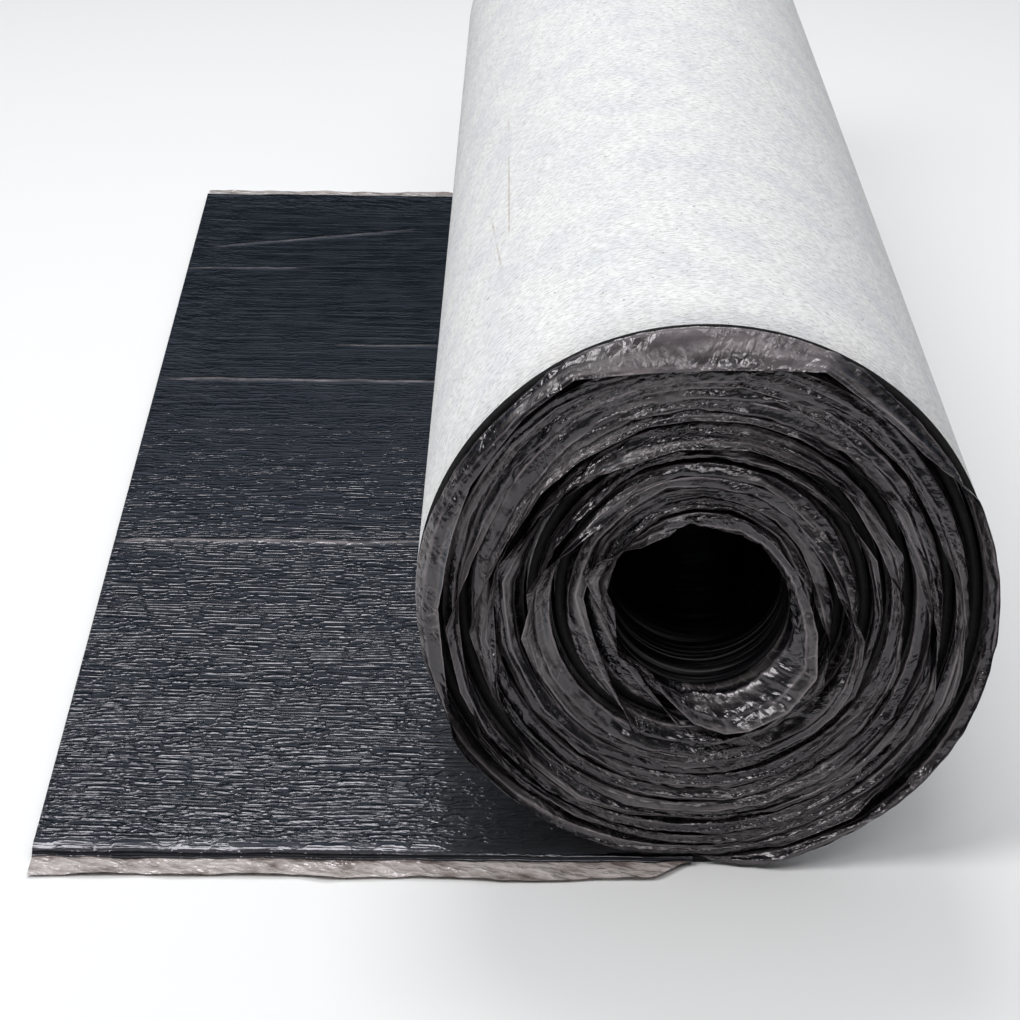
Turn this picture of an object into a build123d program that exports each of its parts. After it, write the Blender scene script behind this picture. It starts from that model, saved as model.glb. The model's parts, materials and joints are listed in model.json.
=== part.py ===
"""A part-unrolled roll of white-faced bitumen roofing felt with the release film on its black face.

Frame: +Y along the roll's axis, +Z up, the loose tail lies towards -X.
The origin is on the floor, at the middle of the part's outline seen from above.
Lengths are in millimetres.
"""

import os

from build123d import *

# Felt
felt_width = 1000.0
felt_thickness = 4.0
bore_radius = 34.0
turns = 15
tail_reach = 275.0  # from under the roll's axis to the tail's cut end, at the front edge
tail_skew = 30.0  # the cut is out of square: this much longer at the back edge
edge_groove_depth = 3.0  # how far the slack between two turns shows in from each end

# Slack between two turns, taken up by the release film and air
turn_gap = 1.6

# Release film
film_loft = 0.6  # height of the wrinkled film above what it lies on
film_overhang = 20.0  # film beyond the felt's edges, on the floor beside the tail
hem_depth = 3.0  # bead of film where it turns down over the tail's edge
fold_stand = 6.0  # loose film on the roll's ends, up to the valley between two folds
fold_rise_share = 0.35  # and from there to the top of a fold, of the fold's width
bore_setback = 1.5  # film kept back from the bore's wall

# Sizes that follow
pitch = felt_thickness + turn_gap
wall = turns * pitch
outer_radius = bore_radius + wall
half_width = felt_width / 2
film_width = felt_width + 2 * film_overhang
tail_length = tail_reach + tail_skew
roll_x = (tail_length - outer_radius) / 2

# The winding is a spiral of half turns about two centres, half a pitch apart.
# From the floor it climbs the right side about the lower one, which is the bore's axis,
# and comes down the left side about the upper one, to lie on the tail.
bore_axis = Axis((roll_x, 0, outer_radius), (0, -1, 0))
left_axis = Axis((roll_x, 0, outer_radius + pitch / 2), (0, -1, 0))

# Sections of the winding: local x along the roll, local y inwards from its outer face
floor_section = Plane(origin=(roll_x, 0, 0), x_dir=(0, 1, 0), z_dir=(1, 0, 0))
top_section = Plane(origin=(roll_x, 0, 2 * outer_radius), x_dir=(0, 1, 0), z_dir=(-1, 0, 0))
half_turns = ((floor_section, bore_axis), (top_section, left_axis))

bore_plane = Plane(origin=(roll_x, 0, outer_radius), x_dir=(1, 0, 0), z_dir=(0, -1, 0))
tail_section = Plane(origin=(roll_x, 0, 0), x_dir=(0, -1, 0), z_dir=(-1, 0, 0))
tail_cut = Plane(
    origin=(roll_x - tail_reach, -film_width / 2, 0),
    x_dir=(-tail_skew, film_width, 0),
    z_dir=(film_width, tail_skew, 0),
)


# The felt: the wound roll and its tail are one sheet, and its turns show as grooves on both ends
with BuildPart() as felt_roll:
    groove_places = [
        (side * half_width, turn * pitch + felt_thickness + turn_gap / 2)
        for side in (-1, 1)
        for turn in range(turns)
    ]
    for section, axis in half_turns:
        with BuildSketch(section):
            Rectangle(felt_width, wall, align=(Align.CENTER, Align.MIN))
            with Locations(*groove_places):
                Rectangle(2 * edge_groove_depth, turn_gap, mode=Mode.SUBTRACT)
        revolve(axis=axis, revolution_arc=180)
    with BuildSketch(tail_section):
        Rectangle(felt_width, felt_thickness, align=(Align.CENTER, Align.MIN))
    extrude(amount=tail_length)
    split(bisect_by=tail_cut)
    with BuildSketch(bore_plane):
        Circle(bore_radius)
    extrude(amount=half_width, both=True, mode=Mode.SUBTRACT)
felt_roll.part.label = "felt_roll"


# The release film: it covers the tail's black face, turns down over both edges of the tail
# to lie on the floor, and stands in loose folds on both ends of the roll, one to each turn
with BuildPart() as release_film:
    with BuildSketch(tail_section):
        with Locations((0, felt_thickness)):
            Rectangle(felt_width, film_loft, align=(Align.CENTER, Align.MIN))
        for side, grow in ((-1, Align.MAX), (1, Align.MIN)):
            with Locations((side * half_width, 0)):
                Rectangle(hem_depth, pitch, align=(grow, Align.MIN))
                Rectangle(film_overhang, film_loft, align=(grow, Align.MIN))
    extrude(amount=tail_length)
    split(bisect_by=tail_cut)

    fold_edges = [turn * pitch + felt_thickness / 2 for turn in range(turns)]
    fold_edges.append(wall - bore_setback)
    for section, axis in half_turns:
        for side in (-1, 1):
            end_y = side * half_width
            valley_y = side * (half_width + fold_stand)
            with BuildSketch(section):
                with BuildLine():
                    Polyline(
                        (valley_y, fold_edges[0]),
                        (end_y, fold_edges[0]),
                        (end_y, fold_edges[-1]),
                        (valley_y, fold_edges[-1]),
                    )
                    for low, high in zip(fold_edges, fold_edges[1:]):
                        crest_y = valley_y + side * fold_rise_share * (high - low)
                        ThreePointArc((valley_y, low), (crest_y, (low + high) / 2), (valley_y, high))
                make_face()
            revolve(axis=axis, revolution_arc=180)
    with BuildSketch(bore_plane):
        Circle(bore_radius + bore_setback)
    extrude(amount=film_width / 2, both=True, mode=Mode.SUBTRACT)
release_film.part.label = "release_film"


os.makedirs("parts", exist_ok=True)
for piece in (felt_roll, release_film):
    export_step(piece.part, f"parts/{piece.part.label}.step")
    print(piece.part.label, len(piece.part.solids()), "solid, volume", round(piece.part.volume), "mm3")
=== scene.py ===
"""A part-unrolled roll of white-faced roofing felt with crumpled black release film on its black face.

Every surface is a grid worked out with numpy: the felt is a flat section carried along its winding,
and the film is a sheet carried along the tail, the bore and the edges of the turns.
Lengths are in metres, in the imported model's frame: +Y along the roll, the tail towards -X.
"""

import json
import math

import bpy
import numpy as np
from mathutils import Matrix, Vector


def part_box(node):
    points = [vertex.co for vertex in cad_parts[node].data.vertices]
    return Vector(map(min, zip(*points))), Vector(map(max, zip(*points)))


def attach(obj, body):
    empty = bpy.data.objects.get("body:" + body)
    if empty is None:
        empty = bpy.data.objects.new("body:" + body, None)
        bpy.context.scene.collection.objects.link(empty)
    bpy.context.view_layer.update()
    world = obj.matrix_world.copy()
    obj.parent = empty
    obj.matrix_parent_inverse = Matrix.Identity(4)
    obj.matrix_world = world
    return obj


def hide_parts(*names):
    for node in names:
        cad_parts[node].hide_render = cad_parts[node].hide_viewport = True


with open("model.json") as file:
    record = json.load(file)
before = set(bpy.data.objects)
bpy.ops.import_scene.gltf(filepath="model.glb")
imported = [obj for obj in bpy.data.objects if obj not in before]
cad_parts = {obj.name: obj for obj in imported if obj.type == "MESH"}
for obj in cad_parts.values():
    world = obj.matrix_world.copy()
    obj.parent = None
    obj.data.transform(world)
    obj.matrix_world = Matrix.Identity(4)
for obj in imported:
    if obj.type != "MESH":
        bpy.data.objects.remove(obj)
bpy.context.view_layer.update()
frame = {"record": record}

MM = 0.001
FRONT, BACK = -1, 1

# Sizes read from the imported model
_, felt_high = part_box("felt_roll")
film_low, film_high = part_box("release_film")
bore = next(mount for mount in frame["record"]["mounts"] if mount["name"] == "bore")
half_width = felt_high.y
film_half_width = film_high.y
outer_radius = felt_high.z / 2
bore_radius = bore["dims"]["r_mm"] * MM
roll_x = bore["pos_m"][0]

# Felt and its winding
turns = 15
felt_thickness = 4 * MM
tail_skew = 30 * MM  # the tail is this much longer at its back edge
pitch = (outer_radius - bore_radius) / turns
inner_end = turns - 0.36  # turn at which the felt ends, so that the bore stays clear
tail_reach = roll_x - film_low.x - tail_skew
film_overhang = film_half_width - half_width
film_clear = 0.3 * MM  # film above the face that it lies on

# Thin lines: place across the line, slope, width, and where the line starts and ends
fleece_scuffs = (
    (0.4630, 0.0135, 0.9 * MM, -0.28, -0.04),
    (0.4905, 0.0858, 0.9 * MM, -0.31, -0.22),
)
film_creases = (
    (-0.1630, 0.006, 3.4 * MM, -0.20, 0.05),
    (0.0905, -0.005, 2.8 * MM, -0.20, 0.02),
    (0.1590, 0.02, 1.8 * MM, -0.10, 0.01),
    (0.3230, 0.03, 2.2 * MM, -0.21, -0.12),
    (0.4300, 0.33, 2.4 * MM, -0.20, -0.05),
)

# Folds of the film that are listed one by one, on the outermost turns and at the bore's mouth:
# first and last turn, three leans, two fold places and the width as shares of the film's overhang
front_folds = (
    (0.00, 0.11, -0.30, -0.7, -1.6, 0.45, 0.70, 0.60),
    (0.17, 0.34, -0.20, -0.8, -1.0, 0.40, 0.70, 0.85),
    (0.38, 0.62, -1.25, 0.50, 0.9, 0.42, 0.92, 0.85),
    (0.66, 0.84, -1.20, 0.5, 1.2, 0.38, 0.65, 0.85),
    (1.36, 1.66, 0.30, 1.35, 1.5, 0.45, 0.80, 0.50),
    (2.40, 2.62, 0.20, 1.30, 1.5, 0.45, 0.80, 0.55),
    (13.62, 14.06, -0.10, -0.8, -1.5, 0.40, 0.75, 0.85),
    (14.02, 14.28, -0.35, -0.9, -1.0, 0.40, 0.75, 1.30),
    (14.24, 14.66, 0.0, -0.6, -1.4, 0.50, 0.80, 0.70),
)
back_folds = (
    (0.30, 0.72, -0.55, 0.9, 1.3, 0.40, 0.75, 1.0),
    (13.62, 14.66, -0.10, -0.8, -1.5, 0.40, 0.75, 0.85),
)
# Grids of the film on the two ends: step along the film, rows across it and random seed
front_grid = (0.9 * MM, 28, 100)
back_grid = (1.6 * MM, 18, 400)
# Turns between which the film is pulled straight across: on top, and below and to the left of the bore
front_pulls = ((0.447, 0.553), (10.78, 10.93), (11.75, 11.94), (12.74, 12.95), (13.73, 13.96))
# The loose flap on top of the front end: the turns between which it stands above the felt, and how high
top_flap = (0.45, 0.57, 3.5 * MM)
# The film's opening at the bore has straight sides, which lie this share of a turn round from the bottom
mouth_sides = (0.04, 0.14, 0.24, 0.345, 0.45, 0.60, 0.76, 0.90)


# Random patterns


def cell_values(column, row, seed):
    """Even random numbers from 0 to 1, one to a whole-numbered cell: its numbers mixed, and 24 bits kept."""
    mixed = column.astype(np.int64) * 374761393 + row.astype(np.int64) * 668265263 + seed * 974634777
    mixed = mixed & 0xFFFFFFFF
    mixed = ((mixed ^ (mixed >> 13)) * 1274126177) & 0xFFFFFFFF
    mixed = mixed ^ (mixed >> 16)
    return (mixed & 0xFFFFFF) / 0xFFFFFF


def cell_corners(x, y, seed):
    """Where each point lies in its cell, and the random numbers at the cell's four corners."""
    x, y = np.broadcast_arrays(x, y)
    column = np.floor(x)
    row = np.floor(y)
    corners = [cell_values(column + i, row + j, seed) for j in (0, 1) for i in (0, 1)]
    return x - column, y - row, corners


def facet_noise(x, y, seed):
    """Flat facets with sharp creases, -1 to 1: random heights at whole-numbered points, two planes a cell."""
    u, v, (low_left, low_right, high_left, high_right) = cell_corners(x, y, seed)
    lower = low_left + (low_right - low_left) * u + (high_left - low_left) * v
    upper = high_right + (high_left - high_right) * (1 - u) + (low_right - high_right) * (1 - v)
    return 2 * np.where(u + v < 1, lower, upper) - 1


def soft_noise(x, y, seed):
    """Smooth hills, -1 to 1: random heights at whole-numbered points, eased between by 3t^2 - 2t^3."""
    u, v, (low_left, low_right, high_left, high_right) = cell_corners(x, y, seed)
    u = u * u * (3 - 2 * u)
    v = v * v * (3 - 2 * v)
    lower = low_left + (low_right - low_left) * u
    upper = high_left + (high_right - high_left) * u
    return 2 * (lower + (upper - lower) * v) - 1


def kinked(along, spacing, seed):
    """Straight stretches with kinks, -1 to 1: random values at uneven knots, joined by straight lines."""
    draw = np.random.default_rng(seed)
    count = int(np.max(along) / spacing) + 4
    knots = spacing * (np.arange(count) - 1 + 0.8 * (draw.random(count) - 0.5))
    return np.interp(along, knots, draw.uniform(-1, 1, count))


def crumple(x, y, size, seed):
    """Crumpled film, about -1 to 1: three layers of facets, each turned, finer and lower than the last."""
    layers = ((0.35, 1.0, 0.55), (1.3, 2.1, 0.3), (2.2, 4.0, 0.15))
    total = 0.0
    for layer, (angle, fineness, height) in enumerate(layers):
        bend_x = 0.6 * soft_noise(x / size, y / size, seed + 11 + layer)
        bend_y = 0.6 * soft_noise(x / size, y / size, seed + 17 + layer)
        turned_x = (math.cos(angle) * x - math.sin(angle) * y) * fineness / size + bend_x
        turned_y = (math.sin(angle) * x + math.cos(angle) * y) * fineness / size + bend_y
        total = total + height * facet_noise(turned_x, turned_y, seed + layer)
    return total


def step_up(value, low, high):
    """0 below low, 1 above high, eased between by 3t^2 - 2t^3."""
    t = np.clip((value - low) / (high - low), 0, 1)
    return t * t * (3 - 2 * t)


def hump(value, first, last, ease):
    """1 from first to last and 0 outside, eased over the range of ease to either side of both."""
    return step_up(value, first - ease, first + ease) * (1 - step_up(value, last - ease, last + ease))


# The winding


def winding(turn):
    """Point (x, z) on the felt's outer face after so many turns, and the way out from the roll's middle.

    The angle is 2 pi turn, from the lowest point and up the right side. The radius drops by half a pitch
    each half turn, and the left half's centre is half a pitch higher, so that the stretches join up.
    """
    whole = np.floor(turn)
    left = (turn - whole) >= 0.5
    angle = 2 * np.pi * turn
    radius = outer_radius - pitch * (whole + 0.5 * left)
    out_x = np.sin(angle)
    out_z = -np.cos(angle)
    return roll_x + radius * out_x, outer_radius + 0.5 * pitch * left + radius * out_z, out_x, out_z


def length_along(turn):
    """Length of felt from the floor to each turn number, added up along its points."""
    x, z, _, _ = winding(turn)
    return np.concatenate(([0.0], np.cumsum(np.hypot(np.diff(x), np.diff(z)))))


def tail_end(y):
    """x of the tail's slanting cut at a place across the felt."""
    return roll_x - tail_reach - tail_skew * (y + film_half_width) / (2 * film_half_width)


def roll_underside(x):
    """Height of the wound roll's lowest face above the tail, from its second turn's circle."""
    radius = outer_radius - 0.5 * pitch
    across = np.clip(np.abs(x - roll_x), 0, radius)
    return outer_radius + 0.5 * pitch - np.sqrt(radius**2 - across**2)


# Meshes


def surface(name, points, materials, uv=None, flip=False, slots=None):
    """A mesh from a grid of points (along, across, 3), with one quad between each four neighbours.

    With slots, the grid is a closed profile whose second half runs back along its first. The faces take
    their material slots from it, and the two ends are capped in the last slot.
    """
    along, across = points.shape[:2]
    index = np.arange(along * across).reshape(along, across)
    ring = index if slots is None else np.concatenate((index, index[:, :1]), axis=1)
    quads = np.stack((ring[:-1, :-1], ring[1:, :-1], ring[1:, 1:], ring[:-1, 1:]), axis=-1).reshape(-1, 4)
    if slots is not None:
        low = np.arange(across // 2 - 1)
        high = across - 1 - low
        first, last = index[0], index[-1]
        start_cap = np.stack((first[low], first[low + 1], first[high - 1], first[high]), axis=-1)
        end_cap = np.stack((last[high], last[high - 1], last[low + 1], last[low]), axis=-1)
        quads = np.concatenate((quads, start_cap, end_cap))
        slots = np.concatenate((slots.ravel(), np.full(2 * len(low), len(materials) - 1)))
    if flip:
        quads = quads[:, ::-1]
    mesh = bpy.data.meshes.new(name)
    mesh.vertices.add(along * across)
    mesh.vertices.foreach_set("co", points.astype(np.float32).ravel())
    mesh.loops.add(quads.size)
    mesh.loops.foreach_set("vertex_index", quads.astype(np.int32).ravel())
    mesh.polygons.add(len(quads))
    mesh.polygons.foreach_set("loop_start", np.arange(0, quads.size, 4, dtype=np.int32))
    for material in materials:
        mesh.materials.append(material)
    if slots is not None:
        mesh.polygons.foreach_set("material_index", slots.astype(np.int32))
    if uv is not None:
        layer = mesh.uv_layers.new(name="sheet")
        layer.data.foreach_set("uv", uv.reshape(-1, 2)[quads.ravel()].astype(np.float32).ravel())
    mesh.update(calc_edges=True)
    mesh.validate()
    mesh.polygons.foreach_set("use_smooth", np.ones(len(mesh.polygons), dtype=bool))
    piece = bpy.data.objects.new(name, mesh)
    bpy.context.scene.collection.objects.link(piece)
    return piece


def surface_normals(points):
    """Unit normals of a grid: the cross product of its two directions."""
    normal = np.cross(np.gradient(points, axis=0), np.gradient(points, axis=1))
    return normal / np.maximum(np.linalg.norm(normal, axis=-1, keepdims=True), 1e-12)


# Materials


def new_material(name):
    """A material, its node tree and its shader."""
    material = bpy.data.materials.new(name)
    material.use_nodes = True
    tree = material.node_tree
    return material, tree, tree.nodes["Principled BSDF"]


def add_node(tree, kind, settings=None, **inputs):
    """A node with its settings, and its inputs set to values or linked from sockets."""
    made = tree.nodes.new(kind)
    for key, value in (settings or {}).items():
        setattr(made, key, value)
    for key, value in inputs.items():
        socket = made.inputs[int(key[1:])] if key[0] == "_" else made.inputs[key.replace("_", " ")]
        if isinstance(value, bpy.types.NodeSocket):
            tree.links.new(value, socket)
        else:
            socket.default_value = value
    return made


def ramp(tree, factor, stops):
    """A colour ramp through (place, colour) stops."""
    made = tree.nodes.new("ShaderNodeValToRGB")
    while len(made.color_ramp.elements) < len(stops):
        made.color_ramp.elements.new(1.0)
    for element, (place, colour) in zip(made.color_ramp.elements, stops):
        element.position = place
        element.color = (*colour, 1.0)
    tree.links.new(factor, made.inputs["Fac"])
    return made.outputs["Color"]


def math_node(tree, operation, first, second=0.0):
    """The result of one operation on values or sockets."""
    return add_node(tree, "ShaderNodeMath", {"operation": operation}, _0=first, _1=second).outputs[0]


def noise(tree, place, scale, detail):
    """Soft random spots: scale is their number to a metre."""
    return add_node(tree, "ShaderNodeTexNoise", Vector=place, Scale=scale, Detail=detail).outputs["Fac"]


def stretched(tree, coordinates, stretch, turn=0.0):
    """Coordinates turned about Z, and then scaled by stretch, along and across."""
    if turn:
        coordinates = add_node(
            tree, "ShaderNodeMapping", Vector=coordinates, Rotation=(0, 0, turn)
        ).outputs["Vector"]
    return add_node(tree, "ShaderNodeMapping", Vector=coordinates, Scale=(*stretch, 1.0)).outputs["Vector"]


def stretched_noise(tree, coordinates, stretch, detail, turn=0.0):
    """Noise that is stretched and turned: stretch is its number of spots to a metre, along and across."""
    return noise(tree, stretched(tree, coordinates, stretch, turn), 1.0, detail)


def eased(tree, value, low, high, start=0.0, end=1.0):
    """A value eased from start, at low, to end, at high."""
    return add_node(
        tree,
        "ShaderNodeMapRange",
        {"interpolation_type": "SMOOTHSTEP"},
        Value=value,
        From_Min=low,
        From_Max=high,
        To_Min=start,
        To_Max=end,
    ).outputs["Result"]


def blend(tree, factor, first, second, kind="MIX"):
    """Two colours mixed by a factor."""
    settings = {"data_type": "RGBA", "blend_type": kind}
    return add_node(tree, "ShaderNodeMix", settings, _0=factor, _6=first, _7=second).outputs[2]


def bumped(tree, shader, height, distance, strength=1.0):
    """Bumps on a shader's surface, from a height map and the distance that its 1 stands for."""
    bump = add_node(tree, "ShaderNodeBump", Strength=strength, Distance=distance, Height=height)
    tree.links.new(bump.outputs["Normal"], shader.inputs["Normal"])


def line_mask(tree, across, along, line):
    """1 on a thin line and 0 off it. A line is its place across, slope, width, start and end."""
    middle, slope, width, low, high = line
    run = math_node(tree, "MULTIPLY", along, slope)
    off = math_node(tree, "SUBTRACT", math_node(tree, "SUBTRACT", across, run), middle)
    thin = eased(tree, math_node(tree, "ABSOLUTE", off), width, 0.3 * width)
    centre = (low + high) / 2
    half = (high - low) / 2
    ends = math_node(tree, "ABSOLUTE", math_node(tree, "SUBTRACT", along, centre))
    return math_node(tree, "MULTIPLY", thin, eased(tree, ends, half, 0.8 * half))


def grey(value):
    """A colour of three equal parts."""
    return (value, value, value)


def crinkle_group():
    """Fine crinkles of thin film: creases between random cells, at two sizes, on stretched coordinates."""
    group = bpy.data.node_groups.new("film_crinkle", "ShaderNodeTree")
    group.interface.new_socket("Vector", in_out="INPUT", socket_type="NodeSocketVector")
    group.interface.new_socket("Scale", in_out="INPUT", socket_type="NodeSocketFloat")
    group.interface.new_socket("Height", in_out="OUTPUT", socket_type="NodeSocketFloat")
    entry = group.nodes.new("NodeGroupInput")
    leave = group.nodes.new("NodeGroupOutput")
    vector, scale = entry.outputs["Vector"], entry.outputs["Scale"]
    bend = add_node(group, "ShaderNodeTexNoise", Vector=vector, Scale=scale, Detail=2.0)
    bent = add_node(
        group, "ShaderNodeMix", {"data_type": "VECTOR"}, _0=0.003, _4=vector, _5=bend.outputs["Color"]
    ).outputs[1]
    cells = {"feature": "F1", "distance": "MANHATTAN"}
    large = add_node(group, "ShaderNodeTexVoronoi", cells, Vector=bent, Scale=scale).outputs["Distance"]
    fine_scale = math_node(group, "MULTIPLY", scale, 2.7)
    fine = add_node(group, "ShaderNodeTexVoronoi", cells, Vector=bent, Scale=fine_scale).outputs["Distance"]
    height = math_node(group, "ADD", large, math_node(group, "MULTIPLY", fine, 0.35))
    group.links.new(height, leave.inputs["Height"])
    return group


def crinkles(tree, crinkle, place, scale):
    """Height of the film's crinkles, from the group that the film's materials share."""
    made = add_node(tree, "ShaderNodeGroup", {"node_tree": crinkle}, Vector=place, Scale=scale)
    return made.outputs["Height"]


def fleece_material():
    """White matted fibres at three slants round the roll, faint mottling, dark flecks and brown scuffs."""
    material, tree, shader = new_material("white_fleece")
    sheet = add_node(tree, "ShaderNodeUVMap", {"uv_map": "sheet"}).outputs["UV"]
    fibre = None
    for slant in (0.05, 0.4, -0.35):
        strand = stretched_noise(tree, sheet, (230.0, 850.0), 1.0, slant)
        fibre = strand if fibre is None else math_node(tree, "MAXIMUM", fibre, strand)
    mottle = stretched_noise(tree, sheet, (40.0, 25.0), 3.0)
    colour = ramp(tree, mottle, ((0.36, (0.82, 0.83, 0.85)), (0.58, (0.90, 0.90, 0.89))))
    shade = ramp(tree, fibre, ((0.48, grey(0.66)), (0.59, grey(0.92)), (0.68, grey(0.98))))
    colour = blend(tree, 1.0, colour, shade, "MULTIPLY")
    fleck = eased(tree, stretched_noise(tree, sheet, (420.0, 300.0), 1.0, 0.3), 0.70, 0.76)
    colour = blend(tree, fleck, colour, (0.42, 0.40, 0.38, 1.0))
    parts = add_node(tree, "ShaderNodeSeparateXYZ", Vector=sheet).outputs
    scuff_share = eased(tree, mottle, 0.3, 0.65, 0.0, 0.6)
    for line in fleece_scuffs:
        scuff = math_node(tree, "MULTIPLY", line_mask(tree, parts["X"], parts["Y"], line), scuff_share)
        colour = blend(tree, scuff, colour, (0.40, 0.31, 0.24, 1.0))
    tree.links.new(colour, shader.inputs["Base Color"])
    shader.inputs["Roughness"].default_value = 0.95
    shader.inputs["Specular IOR Level"].default_value = 0.2
    bumped(tree, shader, fibre, 0.8 * MM)
    return material


def bitumen_material():
    """Black bitumen with a rough cut face."""
    material, tree, shader = new_material("black_bitumen")
    place = add_node(tree, "ShaderNodeTexCoord").outputs["Object"]
    grain = noise(tree, place, 600.0, 4.0)
    colour = ramp(tree, grain, ((0.3, grey(0.003)), (0.7, grey(0.012))))
    tree.links.new(colour, shader.inputs["Base Color"])
    shader.inputs["Roughness"].default_value = 0.7
    shader.inputs["Specular IOR Level"].default_value = 0.3
    bumped(tree, shader, grain, 0.4 * MM, 0.6)
    return material


def tail_film_material(crinkle):
    """Blue-black film with short wrinkles along the sheet and a few long pale creases.

    Near the felt's edges the wrinkles turn into a net of fine crinkles. On the floor, where one layer
    lies by itself, the film is pale and lets the floor's colour through; painted shade makes it browner next
    to the felt.
    """
    material, tree, shader = new_material("tail_film")
    place = add_node(tree, "ShaderNodeTexCoord").outputs["Object"]
    parts = add_node(tree, "ShaderNodeSeparateXYZ", Vector=place).outputs
    across = math_node(tree, "ABSOLUTE", parts["Y"])
    single = eased(tree, across, half_width + 2.5 * MM, half_width + 4 * MM)
    cut_slope = tail_skew / (2 * film_half_width)
    cut_middle = roll_x - tail_reach - tail_skew / 2

    lines_per_metre = 225.0
    drift = stretched_noise(tree, place, (6.0, 24.0), 3.0)
    jog = eased(tree, stretched_noise(tree, place, (60.0, 50.0), 3.0, 0.4), 0.44, 0.58)
    phase = math_node(tree, "MULTIPLY", parts["Y"], lines_per_metre)
    phase = math_node(tree, "ADD", phase, math_node(tree, "MULTIPLY", drift, 7.0))
    phase = math_node(tree, "ADD", phase, math_node(tree, "MULTIPLY", jog, 0.8))
    part_way = math_node(tree, "FRACT", phase)
    wrinkle = math_node(tree, "MULTIPLY", eased(tree, part_way, 0.1, 0.4), eased(tree, part_way, 0.65, 0.4))
    broken = stretched_noise(tree, place, (75.0, 210.0), 2.0)
    wrinkle = math_node(tree, "MULTIPLY", wrinkle, eased(tree, broken, 0.24, 0.54, 0.2, 1.1))
    between = stretched_noise(tree, place, (70.0, 520.0), 2.0, 0.05)
    wrinkle = math_node(tree, "ADD", wrinkle, math_node(tree, "MULTIPLY", between, 1.8))
    wrinkle = math_node(tree, "MULTIPLY", wrinkle, eased(tree, parts["Y"], -0.45, 0.25, 1.0, 0.15))
    net = crinkles(tree, crinkle, stretched(tree, place, (0.55, 1.0), 0.45), 150.0)
    near_edge = eased(tree, across, half_width - 70 * MM, half_width - 20 * MM, 0.0, 0.8)
    from_cut = math_node(tree, "ADD", parts["X"], math_node(tree, "MULTIPLY", parts["Y"], cut_slope))
    near_cut = eased(tree, from_cut, cut_middle + 60 * MM, cut_middle + 15 * MM, 0.0, 0.6)
    off_hem = eased(tree, across, half_width - 4 * MM, half_width - 10 * MM, 0.3, 1.0)
    net_share = math_node(tree, "MAXIMUM", near_edge, near_cut)
    height = math_node(tree, "ADD", wrinkle, math_node(tree, "MULTIPLY", net, net_share))
    height = math_node(tree, "MULTIPLY", height, off_hem)
    strip_net = math_node(tree, "MULTIPLY", net, math_node(tree, "MULTIPLY", single, 5.0))
    height = math_node(tree, "ADD", height, strip_net)

    haze = noise(tree, place, 45.0, 4.0)
    colour = ramp(tree, haze, ((0.3, (0.003, 0.004, 0.006)), (0.7, (0.006, 0.008, 0.011))))
    pale_share = eased(tree, broken, 0.32, 0.66, 0.2, 0.65)
    pale_share = math_node(tree, "MULTIPLY", pale_share, eased(tree, parts["Y"], -0.05, 0.3, 1.0, 0.4))
    sway = math_node(tree, "MULTIPLY", math_node(tree, "SUBTRACT", haze, 0.5), 9 * MM)
    crease_y = math_node(tree, "ADD", parts["Y"], sway)
    for line in film_creases:
        crease = math_node(tree, "MULTIPLY", line_mask(tree, crease_y, parts["X"], line), pale_share)
        colour = blend(tree, crease, colour, (0.36, 0.32, 0.32, 1.0))
    large_folds = math_node(tree, "MULTIPLY", haze, 0.7)
    folds = math_node(tree, "ADD", large_folds, math_node(tree, "MULTIPLY", net, 0.25))
    # Painted shade: the strip on the floor is darker and browner close to the felt's edge
    painted_shade_by_felt = eased(tree, across, half_width + 3 * MM, half_width + 9 * MM, -0.25, -0.05)
    pale = ramp(
        tree,
        math_node(tree, "ADD", folds, painted_shade_by_felt),
        ((0.3, (0.16, 0.125, 0.11)), (0.5, (0.42, 0.37, 0.345)), (0.8, (0.62, 0.57, 0.55))),
    )
    tree.links.new(blend(tree, single, colour, pale), shader.inputs["Base Color"])
    tree.links.new(eased(tree, haze, 0.3, 0.7, 0.10, 0.2), shader.inputs["Roughness"])
    shader.inputs["Specular IOR Level"].default_value = 0.85
    shader.inputs["Specular Tint"].default_value = (0.95, 0.92, 1.0, 1.0)
    bumped(tree, shader, height, 0.32 * MM)
    return material


def bore_material():
    """Black film in the dark of the bore, with painted highlights: grey rings where its wrinkles would catch
    the light.
    """
    material, tree, shader = new_material("bore_film")
    sheet = add_node(tree, "ShaderNodeUVMap", {"uv_map": "sheet"}).outputs["UV"]
    # Painted highlights: grey rings round the bore, standing in for light caught on its wrinkles
    rings = stretched_noise(tree, sheet, (9.0, 420.0), 2.0)
    colour = ramp(tree, rings, ((0.50, (0.003, 0.003, 0.004)), (0.62, grey(0.05)), (0.72, grey(0.14))))
    tree.links.new(colour, shader.inputs["Base Color"])
    shader.inputs["Roughness"].default_value = 0.3
    return material


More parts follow.
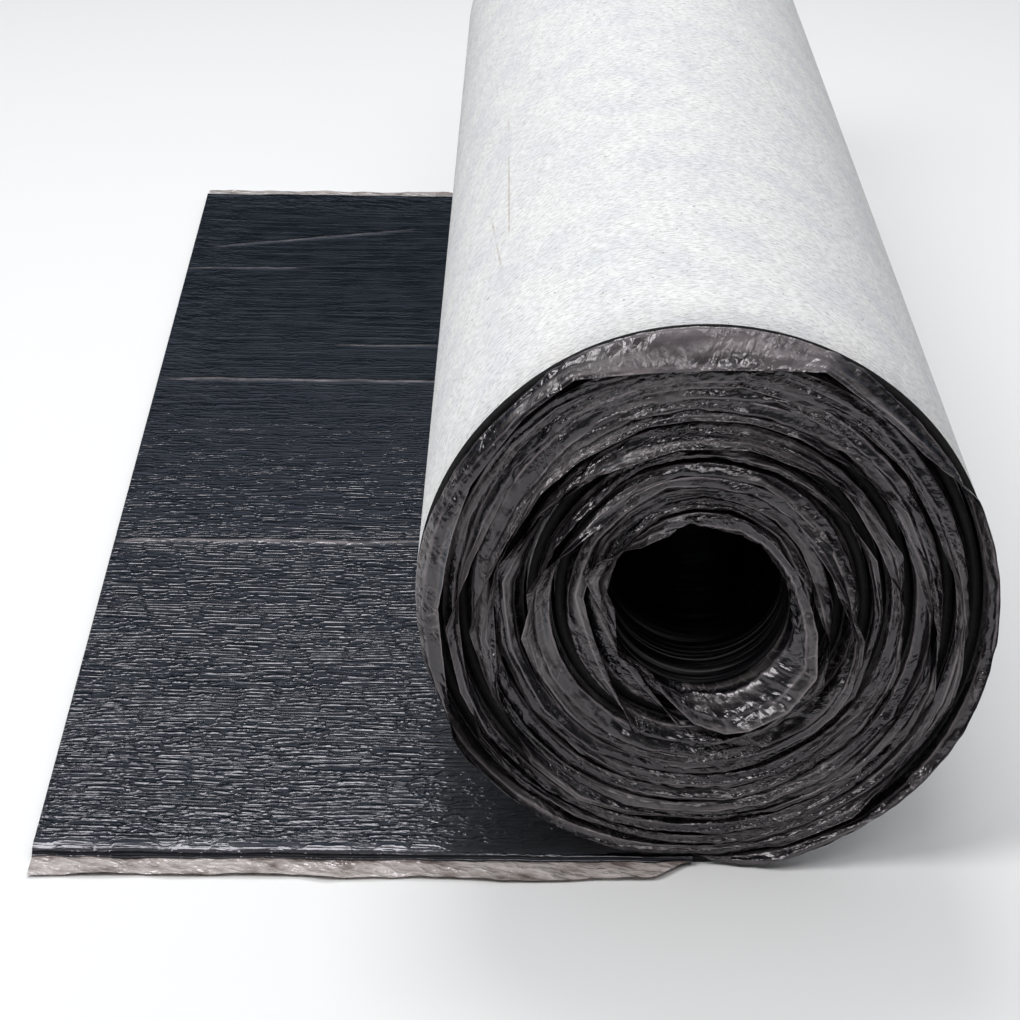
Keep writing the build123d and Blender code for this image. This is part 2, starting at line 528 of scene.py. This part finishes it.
def end_film_material(crinkle):
    """Smoky film in folds: black, brown-grey and cool grey stretches, glossy, crinkled in patches.

    Painted highlights: pale lines along the lines that the film is folded on and along its free edge,
    and faintly along a net of small creases, where the light would catch the film. Over the top flap
    the pale patches are partly the film's haze and partly painted sheen.
    """
    material, tree, shader = new_material("folded_film")
    sheet = add_node(tree, "ShaderNodeUVMap", {"uv_map": "sheet"}).outputs["UV"]
    tint = stretched_noise(tree, sheet, (16.0, 170.0), 3.0)
    colour = ramp(
        tree,
        tint,
        (
            (0.36, (0.002, 0.002, 0.003)),
            (0.47, (0.004, 0.004, 0.005)),
            (0.57, (0.022, 0.020, 0.020)),
            (0.64, (0.070, 0.062, 0.062)),
            (0.72, (0.020, 0.028, 0.034)),
        ),
    )
    # Painted highlight mask from the mesh: the fold lines, the free edge and the top flap's patches of
    # painted sheen
    fold = add_node(tree, "ShaderNodeAttribute", {"attribute_name": "fold"}).outputs["Fac"]
    pale = math_node(tree, "MULTIPLY", fold, eased(tree, tint, 0.35, 0.6, 0.2, 0.6))
    net_place = stretched(tree, sheet, (0.85, 0.85), 0.25)
    patch = eased(tree, noise(tree, sheet, 34.0, 2.0), 0.44, 0.60, 0.25, 0.9)
    # Fainter painted highlights: pale lines on a net of small creases, in patches
    off_crease = add_node(
        tree, "ShaderNodeTexVoronoi", {"feature": "DISTANCE_TO_EDGE"}, Vector=net_place, Scale=190.0
    ).outputs["Distance"]
    crease = math_node(tree, "MULTIPLY", eased(tree, off_crease, 0.07, 0.01), patch)
    crease = math_node(tree, "MULTIPLY", crease, eased(tree, tint, 0.44, 0.60, 0.08, 0.4))
    pale = math_node(tree, "MAXIMUM", pale, crease)
    # The pale colour of the painted highlights
    colour = blend(tree, pale, colour, (0.27, 0.235, 0.25, 1.0))
    tree.links.new(colour, shader.inputs["Base Color"])
    tree.links.new(eased(tree, tint, 0.3, 0.7, 0.15, 0.34), shader.inputs["Roughness"])
    shader.inputs["Specular IOR Level"].default_value = 0.85
    shader.inputs["Specular Tint"].default_value = (1.0, 0.95, 0.98, 1.0)
    net = crinkles(tree, crinkle, net_place, 210.0)
    bumped(tree, shader, math_node(tree, "MULTIPLY", net, patch), 0.8 * MM)
    return material


# The felt


def felt_sheet(fleece, bitumen):
    """The felt: a flat section, fleece face, edge, bitumen face and edge, carried along tail and winding.

    Along the sheet, the outer face is the floor line from the tail's cut to under the roll, and then the
    winding. The inner face is one thickness inwards. Each edge wanders by a millimetre or two.
    """
    outer_turns = 1.5
    edge_wander = 1.2 * MM
    kink_spacing = 30 * MM
    outer_part = np.linspace(0, outer_turns, 240)[:-1]
    turn = np.concatenate((outer_part, np.linspace(outer_turns, inner_end, 900)))
    x, z, out_x, out_z = winding(turn)
    tail_steps = 24
    from_cut = np.linspace(0, 1, tail_steps + 1)[:-1]
    along = np.concatenate((tail_reach * (from_cut - 1), length_along(turn)))

    face_rows = 22
    across = np.linspace(-1, 1, face_rows)
    share = np.concatenate((across, across[::-1]))
    depth = np.concatenate((np.zeros(face_rows), np.full(face_rows, felt_thickness)))

    front_edge = -half_width + edge_wander * (1 + kinked(along + tail_reach, kink_spacing, 5))
    back_edge = half_width - edge_wander * (1 + kinked(along + tail_reach, kink_spacing, 6))
    middle = (front_edge + back_edge)[:, None] / 2
    y = middle + (back_edge - front_edge)[:, None] / 2 * share[None, :]

    points = np.zeros((len(along), len(share), 3))
    points[..., 1] = y
    tail_y = y[:tail_steps]
    points[:tail_steps, :, 0] = tail_end(tail_y) + (roll_x - tail_end(tail_y)) * from_cut[:, None]
    points[:tail_steps, :, 2] = depth[None, :]
    points[tail_steps:, :, 0] = x[:, None] - depth[None, :] * out_x[:, None]
    points[tail_steps:, :, 2] = z[:, None] - depth[None, :] * out_z[:, None]

    uv = np.stack(np.broadcast_arrays(along[:, None], y), axis=-1)
    face_slots = np.ones((len(along) - 1, len(share)))
    face_slots[:, : face_rows - 1] = 0
    return surface("felt", points, (fleece, bitumen), uv, flip=True, slots=face_slots)


# The film


def wrinkle_height(along, y):
    """Height of the fine wrinkles that run along the sheet, in metres, from 0 up.

    Ridges are 1 - |noise| on coordinates squeezed across the sheet, at two sizes, bent by slow hills.
    """
    bend = 6 * MM * soft_noise(along / 0.12, y / 0.05, 31)
    wide = 1 - np.abs(soft_noise(along / 0.07, (y + bend) / (5.5 * MM), 32))
    narrow = 1 - np.abs(soft_noise(along / 0.03, (y + bend) / (3.2 * MM), 33))
    return 0.16 * MM * wide**2 + 0.08 * MM * narrow**2


def tail_film(material):
    """The film on the tail: a profile across the felt, carried from the tail's cut to under the roll.

    The profile lies on the floor, climbs the felt's edge in a rounded hem, crosses the felt's top face and
    comes down the other edge the same way. Wrinkles raise the top, and crumples the strips on the floor.
    """
    strip_step = 1.2 * MM
    top_step = 1.45 * MM
    wrinkle_room = 1.2 * MM
    crease_height = 0.5 * MM
    crease_fade = 30 * MM
    strip_crumple = 1.3 * MM
    hem_rise = 0.3 * MM
    hem_sway = 0.9 * MM
    gather_reach = 18 * MM  # next to the roll, where the strips draw in under it
    gather_rise = 2 * MM
    corners = np.array(
        (
            (film_half_width, film_clear),
            (half_width + 2.4 * MM, film_clear),
            (half_width + 2.0 * MM, felt_thickness - 1.2 * MM),
            (half_width + 0.8 * MM, felt_thickness + 0.2 * MM),
            (half_width - 4.5 * MM, felt_thickness + 0.85 * MM),
            (half_width - 9.0 * MM, felt_thickness + film_clear),
        )
    )
    reach = np.concatenate(([0.0], np.cumsum(np.hypot(*np.diff(corners, axis=0).T))))
    side_count = int(reach[-1] / strip_step)
    place = np.linspace(0, reach[-1], side_count)
    side_y = np.interp(place, reach, corners[:, 0])
    side_z = np.interp(place, reach, corners[:, 1])
    top_count = int(2 * corners[-1, 0] / top_step)
    top_y = np.linspace(-corners[-1, 0], corners[-1, 0], top_count)[1:-1]
    profile_y = np.concatenate((-side_y, top_y, side_y[::-1]))
    profile_z = np.concatenate((side_z, np.full(len(top_y), felt_thickness + film_clear), side_z[::-1]))

    columns = 104
    share = np.linspace(0, 1, columns)
    x = tail_end(profile_y)[None, :] + (roll_x - tail_end(profile_y))[None, :] * share[:, None]
    y = np.broadcast_to(profile_y, x.shape)
    z = np.broadcast_to(profile_z, x.shape).copy()

    on_top = step_up(half_width - np.abs(y), 4 * MM, 9 * MM)
    on_floor = step_up(np.abs(y) - half_width, 1 * MM, 4 * MM)
    on_hem = (1 - on_top) * (1 - on_floor)
    room = np.clip((roll_underside(x) - film_clear - z) / wrinkle_room, 0, 1)
    z += on_top * room * wrinkle_height(x, y)
    for middle, slope, width, low, high in film_creases:
        run = step_up(x, low, low + crease_fade) - step_up(x, high - crease_fade, high)
        z += on_top * room * run * crease_height * np.exp(-(((y - middle - slope * x) / width) ** 2))
    z += on_floor * strip_crumple * (1 + crumple(x + 0.6 * y, y, 16 * MM, 41))
    z += on_hem * hem_rise * soft_noise(x / 0.02, y / 0.010, 42)
    y = y + on_hem * hem_sway * soft_noise(x / 0.03, 0 * y, 43) * np.sign(y)
    out = np.maximum(np.abs(y) - half_width, 0)
    gathered = 0.75 * step_up(x, roll_x - gather_reach, roll_x)
    drawn_in = np.clip(gathered + 0.1 * (1 + kinked(x + 1.0, 22 * MM, 44)), 0, 0.9)
    y = y - np.sign(y) * out * on_floor * drawn_in
    z += on_floor * gather_rise * gathered * (1 + soft_noise(x / 0.008, y / 0.01, 45))
    points = np.stack((x, y, z), axis=-1)
    return surface("tail_film", points, (material,))


def bore_film(material):
    """The film on the felt's innermost turn, all round the bore, with wrinkles that run round it.

    The points lie closer together towards the two ends, at y = half_width sin(pi share / 2).
    """
    turn = np.linspace(inner_end - 1, inner_end, 145)
    along = length_along(turn)[:, None]
    y = half_width * np.sin(np.pi / 2 * np.linspace(-1, 1, 260))[None, :]
    x, z, out_x, out_z = (value[:, None] for value in winding(turn))
    depth = felt_thickness + film_clear + 2 * wrinkle_height(along, y)
    points = np.stack(np.broadcast_arrays(x - depth * out_x, y, z - depth * out_z), axis=-1)
    uv = np.stack(np.broadcast_arrays(along, y), axis=-1)
    return surface("bore_film", points, (material,), uv)


def film_leans(turn, along, seed):
    """Leans of the film's three stretches at each knot, its two fold lines and its width, as rows.

    A lean is an angle from the roll's axis, more than 0 inwards. Film falls inwards at the top of the roll
    and outwards at the bottom, more firmly past its first fold, and tucks under past the second. It stands
    out less at the top. Slow changes follow the winding, so that each turn has places of its own, and each
    knot adds its own kink.
    """
    kinks = np.random.default_rng(seed).uniform(-1, 1, (6, len(turn)))
    spacings = (0.30, 0.10, 0.08, 0.12, 0.09, 0.2)
    slow = [kinked(along, spacing, seed + 1 + i) for i, spacing in enumerate(spacings)]
    upward = -np.cos(2 * np.pi * turn)
    falling = np.clip(1.8 * (upward + 0.9 * slow[0]), -1, 1)
    second_lean = 1.2 * falling + 0.4 * slow[2] + 0.2 * kinks[1]
    values = np.stack(
        (
            0.25 * falling + 0.35 * slow[1] + 0.12 * kinks[0],
            second_lean,
            second_lean + falling * (1.3 + 0.5 * slow[3]) + 0.2 * kinks[2],
            0.48 + 0.10 * slow[4] + 0.04 * kinks[3],
            0.80 + 0.07 * slow[2] + 0.03 * kinks[4],
            0.58 + 0.22 * slow[5] + 0.05 * kinks[5] - 0.14 * step_up(upward, 0.3, 0.9),
        )
    )
    return values, kinks


def kept_between(points, centre_z, low, high):
    """Points moved in or out from an axis along Y, so that their distance from it is from low to high."""
    off_x = points[..., 0] - roll_x
    off_z = points[..., 2] - centre_z
    distance = np.hypot(off_x, off_z)
    scale = np.clip(distance, low, high) / distance
    return np.stack((roll_x + off_x * scale, points[..., 1], centre_z + off_z * scale), axis=-1)


def folded_edge(side, step, rows, seed, placed, pulls):
    """Points, sheet coordinates and painted highlight mask of the film between the turns at one end of the
    roll.

    At uneven knots along the film, its section leaves the roll and changes direction at two fold lines.
    Between knots the film is pulled nearly straight, so that each stretch is a flat facet and each knot a
    kink. Long pleats and crumples are added along the normals. placed has the folds that are listed one
    by one, and pulls the stretches that have no knots.
    """
    knot_spacing_share = 0.28  # of the turn's radius
    least_spacing = 10 * MM
    most_spacing = 26 * MM
    pleat_height = 0.5 * MM
    crumple_height = 1.25 * MM
    least_outward = 0.8 * MM
    rim_wander = 0.4 * MM
    mouth_clear = 0.8 * MM
    fine_turn = np.linspace(0, inner_end, 20000)
    fine_along = length_along(fine_turn)
    length = fine_along[-1]
    draw = np.random.default_rng(seed)
    knot_along = [0.0]
    while knot_along[-1] < length:
        radius = outer_radius - pitch * np.interp(knot_along[-1], fine_along, fine_turn)
        spacing = min(max(knot_spacing_share * radius, least_spacing), most_spacing)
        knot_along.append(knot_along[-1] + draw.uniform(0.5, 1.5) * spacing)
    knot_along = np.array(knot_along)
    knot_turn = np.interp(knot_along, fine_along, fine_turn)
    for first, last in pulls:
        kept = (knot_turn < first) | (knot_turn > last)
        knot_along, knot_turn = knot_along[kept], knot_turn[kept]

    hidden_share = 0.15
    share = np.linspace(0, 1, rows)[None, :]
    values, kinks = film_leans(knot_turn, knot_along, seed)
    wander = np.array((0.1, 0.05, 0.2, 0.03, 0.03, 0.05))[:, None] * kinks
    for first, last, *target in placed:
        window = hump(knot_turn, first, last, 0.25 * (last - first))
        values = values + window * (np.array(target)[:, None] + wander - values)
    first_lean, second_lean, third_lean, first_fold, second_fold, width = values[..., None]
    ends = step_up(knot_turn, 0, 0.05) * (1 - step_up(knot_turn, inner_end - 0.12, inner_end))
    width = width * film_overhang * (0.1 + 0.9 * ends[:, None])
    softness = 0.03
    bends = (
        (hidden_share, first_lean),
        (first_fold, second_lean - first_lean),
        (second_fold, third_lean - second_lean),
    )
    lean = 0.0
    for fold_place, bend in bends:
        lean = lean + bend * step_up(share, fold_place - softness, fold_place + softness)
    part = width / (1 - hidden_share) / (rows - 1)
    knot_inward = np.cumsum(np.sin(lean) * part, axis=1)
    knot_outward = np.cumsum(np.cos(lean) * part, axis=1) - hidden_share * width / (1 - hidden_share)
    knot_outward = np.where(share > hidden_share, np.maximum(knot_outward, least_outward), knot_outward)
    knot_x, knot_z, knot_out_x, knot_out_z = winding(knot_turn)
    root_depth = felt_thickness + film_clear
    corner_x = knot_x[:, None] - (root_depth + knot_inward) * knot_out_x[:, None]
    corner_z = knot_z[:, None] - (root_depth + knot_inward) * knot_out_z[:, None]

    along = np.linspace(0, length, int(length / step))[:, None]
    column = np.broadcast_to(np.arange(rows), (len(along), rows))
    place = np.clip(along + 0.4 * film_overhang * np.maximum(share - hidden_share, 0), 0, length)
    knot = np.clip(np.searchsorted(knot_along, place, side="right") - 1, 0, len(knot_along) - 2)
    part_way = (place - knot_along[knot]) / (knot_along[knot + 1] - knot_along[knot])

    def between(values):
        return values[knot, column] + (values[knot + 1, column] - values[knot, column]) * part_way

    turn = np.interp(place, fine_along, fine_turn)
    x, z, out_x, out_z = winding(turn)
    depth = root_depth + between(knot_inward)
    straight = 0.8 * np.clip((share - hidden_share - 0.25) / 0.5, 0, 1)
    points = np.zeros((*place.shape, 3))
    points[..., 0] = x - depth * out_x
    points[..., 2] = z - depth * out_z
    points[..., 0] += straight * (between(corner_x) - points[..., 0])
    points[..., 2] += straight * (between(corner_z) - points[..., 2])
    points[..., 1] = side * (half_width + between(knot_outward))

    across = film_overhang * share
    free = step_up(share, hidden_share, hidden_share + 0.2)
    off_first = np.abs(share - between(first_fold + 0 * share))
    off_second = np.abs(share - between(second_fold + 0 * share))
    off_fold = np.minimum(off_first, off_second)
    # Mask of painted highlights: 1 on the fold lines and the free edge, where the light would catch the film
    fold = 1 - step_up(np.minimum(off_fold, 1 - share), 0.2 / rows, 0.9 / rows)
    if side == FRONT:
        first, last, _ = top_flap
        flap = step_up(turn, first - 0.03, first) * (1 - step_up(turn, last - 0.03, last))
        # On the top flap, patches that are partly the film's haze and partly painted sheen join the painted
        # highlight mask
        haze_and_sheen = 0.35 + 0.65 * step_up(soft_noise(along / 0.02, across / (5 * MM), seed + 13), -0.5, 0.5)
        fold = np.maximum(fold, 1.1 * flap * haze_and_sheen * (share > 0.4))
    pleats = facet_noise(along / 0.05 + 3 * share, across / (3.2 * MM), seed + 7)
    rough = 0.5 + 0.5 * step_up(soft_noise(along / 0.06, across / 0.02, seed + 9), -0.1, 0.6)
    innermost = step_up(turn, inner_end - 1.2, inner_end - 0.9)
    crumples = (1 - innermost) * rough * crumple(along / 1.4, across, 6 * MM, seed + 8)
    crumples = crumples + innermost * 0.9 * crumple(along, across / 2, 4 * MM, seed + 12)
    height = free * (pleat_height * pleats + crumple_height * crumples)
    points += surface_normals(points) * height[..., None]

    left = points[..., 0] < roll_x
    ragged = rim_wander * (1 + soft_noise(along / 0.006, share / 0.3, seed + 10))
    rim = outer_radius - 0.5 * pitch * left + ragged
    if side == FRONT:
        first, last, rise = top_flap
        rim = rim + rise * hump(turn, first, last, 0.05)
    points = kept_between(points, outer_radius + 0.5 * pitch * left, 0.0, rim)
    around = np.arctan2(points[..., 0] - roll_x, outer_radius - points[..., 2])
    straight_sides = 1 / np.max([np.cos(around - 2 * np.pi * middle) for middle in mouth_sides], axis=0)
    mouth = (bore_radius + mouth_clear) * (1 + free * (straight_sides - 1))
    points = kept_between(points, outer_radius, mouth, np.inf)
    points[..., 2] = np.maximum(points[..., 2], film_clear)
    return points, np.stack(np.broadcast_arrays(along, across), axis=-1), fold


def folded_pieces(name, count, side, step, rows, seed, placed, pulls, material):
    """The folded film of one end, in a few pieces that share their end rows."""
    points, uv, fold = folded_edge(side, step, rows, seed, placed, pulls)
    cuts = np.linspace(0, len(points) - 1, count + 1).astype(int)
    pieces = []
    for i, (a, b) in enumerate(zip(cuts, cuts[1:] + 1)):
        piece = surface(f"{name}_{i}", points[a:b], (material,), uv[a:b], flip=side == FRONT)
        # The mask of painted highlights, kept on each piece for its material
        highlight_layer = piece.data.attributes.new("fold", "FLOAT", "POINT")
        highlight_layer.data.foreach_set("value", fold[a:b].astype(np.float32).ravel())
        pieces.append(piece)
    return pieces


# The set


def make_floor():
    """A plain pale floor, a little below the part, so that the two don't share a face."""
    half_size = 14.0
    drop = 0.2 * MM
    corner = np.linspace(-half_size, half_size, 2)
    x, y = np.meshgrid(corner, corner, indexing="ij")
    points = np.stack((x, y, 0 * x - drop), axis=-1)
    material, _, shader = new_material("pale_floor")
    shader.inputs["Base Color"].default_value = (0.88, 0.88, 0.88, 1.0)
    shader.inputs["Roughness"].default_value = 0.9
    shader.inputs["Specular IOR Level"].default_value = 0.1
    floor = surface("floor", points, (material,))


def make_world():
    """Soft light from all round: bright overhead, dark at the horizon behind, dim half-way up in front."""
    world = bpy.data.worlds.new("studio")
    bpy.context.scene.world = world
    world.use_nodes = True
    tree = world.node_tree
    place = add_node(tree, "ShaderNodeTexCoord").outputs["Generated"]
    way = add_node(tree, "ShaderNodeSeparateXYZ", Vector=place).outputs
    behind = ramp(
        tree,
        way["Z"],
        (
            (0.26, (0.010, 0.018, 0.022)),
            (0.36, (0.075, 0.095, 0.125)),
            (0.46, (0.32, 0.36, 0.46)),
            (0.68, (0.48, 0.50, 0.54)),
            (1.0, grey(0.68)),
        ),
    )
    before = ramp(
        tree,
        way["Z"],
        ((0.0, grey(0.45)), (0.2, grey(0.08)), (0.5, grey(0.08)), (0.9, grey(0.65))),
    )
    colour = blend(tree, eased(tree, way["Y"], 0.4, -0.4), behind, before)
    tree.links.new(colour, tree.nodes["Background"].inputs["Color"])


def put_in_place(name, content, place, axes):
    """An object for a lamp or a camera, at its place, with its right, upward and backward axes."""
    holder = bpy.data.objects.new(name, content)
    bpy.context.scene.collection.objects.link(holder)
    holder.matrix_world = Matrix.Translation(place) @ Matrix(np.stack(axes, axis=1).tolist()).to_4x4()
    return holder


def make_lamp(name, place, target, width, height, power):
    """A softbox of a given width and height, turned towards its target."""
    lamp = bpy.data.lights.new(name, "AREA")
    lamp.shape = "RECTANGLE"
    lamp.size = width
    lamp.size_y = height
    lamp.energy = power
    back = np.array(place) - np.array(target)
    back = back / np.linalg.norm(back)
    right = np.cross((0, 1, 0), back)
    right = right / np.linalg.norm(right)
    put_in_place(name, lamp, place, (right, np.cross(back, right), back))


def make_camera():
    """A camera in front, above and to the left of the roll's axis, looking down along the roll."""
    focal_px = 3000.0
    image_px = 1020.0
    place = (roll_x - 71.3 * MM, -half_width - 1109.5 * MM, 600.4 * MM)
    yaw = math.radians(-0.314)
    pitch_down = math.radians(21.75)
    tilt = math.radians(0.494)
    ahead = np.array(
        (math.sin(yaw) * math.cos(pitch_down), math.cos(yaw) * math.cos(pitch_down), -math.sin(pitch_down))
    )
    level = np.array((math.cos(yaw), -math.sin(yaw), 0.0))
    upward = np.cross(level, ahead)
    right = math.cos(tilt) * level + math.sin(tilt) * upward
    top = -math.sin(tilt) * level + math.cos(tilt) * upward
    camera = bpy.data.cameras.new("camera")
    camera.sensor_width = 36.0
    camera.lens = camera.sensor_width * focal_px / image_px
    bpy.context.scene.camera = put_in_place("camera", camera, place, (right, top, -ahead))


make_camera()
make_floor()
make_world()
roll_middle = (roll_x, 0.0, outer_radius)
make_lamp("key_softbox", (-1.2, -1.4, 1.9), roll_middle, 1.0, 1.0, 26.0)
make_lamp("back_softbox", (-0.1, 1.0, 2.2), roll_middle, 1.3, 0.8, 24.0)
make_lamp("front_softbox", (0.5, -2.0, 2.0), roll_middle, 1.1, 0.6, 10.0)
bpy.context.scene.view_settings.view_transform = "Standard"

crinkle = crinkle_group()
fleece = fleece_material()
bitumen = bitumen_material()
flat_film = tail_film_material(crinkle)
edge_film = end_film_material(crinkle)

felt = felt_sheet(fleece, bitumen)
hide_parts("felt_roll")
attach(felt, "root")

tail = tail_film(flat_film)
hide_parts("release_film")
film_pieces = [tail, bore_film(bore_material())]
film_pieces += folded_pieces("front_film", 3, FRONT, *front_grid, front_folds, front_pulls, edge_film)
film_pieces += folded_pieces("back_film", 1, BACK, *back_grid, back_folds, (), edge_film)
for piece in film_pieces:
    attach(piece, "root")
